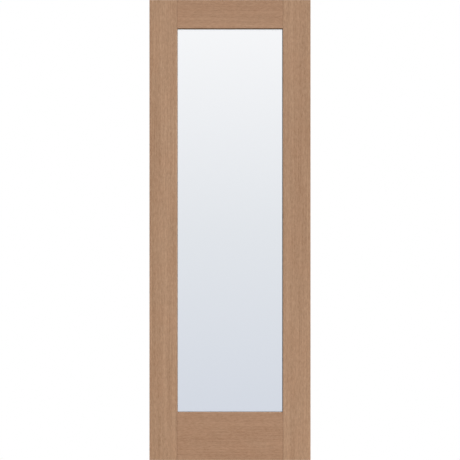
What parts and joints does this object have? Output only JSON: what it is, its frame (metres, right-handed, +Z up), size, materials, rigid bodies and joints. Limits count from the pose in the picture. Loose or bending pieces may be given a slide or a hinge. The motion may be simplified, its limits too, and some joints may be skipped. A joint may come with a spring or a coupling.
{
  "type": "full lite entrance door leaf",
  "caption": "Full lite entrance door leaf: veneered stiles and rails with a splayed edge round one tall sealed glass unit, held inside by mitred beads.",
  "frame": {"origin": "on the hinge edge, at mid thickness, level with the foot of the leaf", "axes": "+Z up the leaf; +X across it from the hinge edge to the lock edge; +Y through it from the exterior face to the interior face"},
  "size_m": [0.7112, 0.0444, 2.032],
  "materials": {
    "oak_veneer": "sanded sliced oak veneer under a matt clear coat",
    "solid_oak": "planed solid oak under a matt clear coat",
    "laminated_core": "sawn softwood staves, sealed",
    "beech_dowel": "turned beech",
    "glass": "clear toughened float glass",
    "spacer_aluminium": "roll formed, satin",
    "black_sealant": "matt",
    "glazing_tape": "matt",
    "setting_rubber": "matt"
  },
  "bodies": {
    "root": {"hinge_stile_core": "laminated_core", "hinge_stile_edge_strip": "solid_oak", "hinge_stile_glazing_strip": "solid_oak", "hinge_stile_exterior_veneer": "oak_veneer", "hinge_stile_interior_veneer": "oak_veneer", "lock_stile_core": "laminated_core", "lock_stile_edge_strip": "solid_oak", "lock_stile_glazing_strip": "solid_oak", "lock_stile_exterior_veneer": "oak_veneer", "lock_stile_interior_veneer": "oak_veneer", "top_rail_core": "laminated_core", "top_rail_edge_strip": "solid_oak", "top_rail_glazing_strip": "solid_oak", "top_rail_exterior_veneer": "oak_veneer", "top_rail_interior_veneer": "oak_veneer", "bottom_rail_core": "laminated_core", "bottom_rail_edge_strip": "solid_oak", "bottom_rail_glazing_strip": "solid_oak", "bottom_rail_exterior_veneer": "oak_veneer", "bottom_rail_interior_veneer": "oak_veneer", "hinge_side_bead": "solid_oak", "lock_side_bead": "solid_oak", "top_bead": "solid_oak", "bottom_bead": "solid_oak", "exterior_pane": "glass", "interior_pane": "glass", "spacer_frame": "spacer_aluminium", "butyl_seals": "black_sealant", "edge_sealant": "black_sealant", "exterior_glazing_tape": "glazing_tape", "interior_glazing_tape": "glazing_tape", "setting_blocks": "setting_rubber", "top_rail_dowels": "beech_dowel", "bottom_rail_dowels": "beech_dowel"}
  },
  "joints": []
}
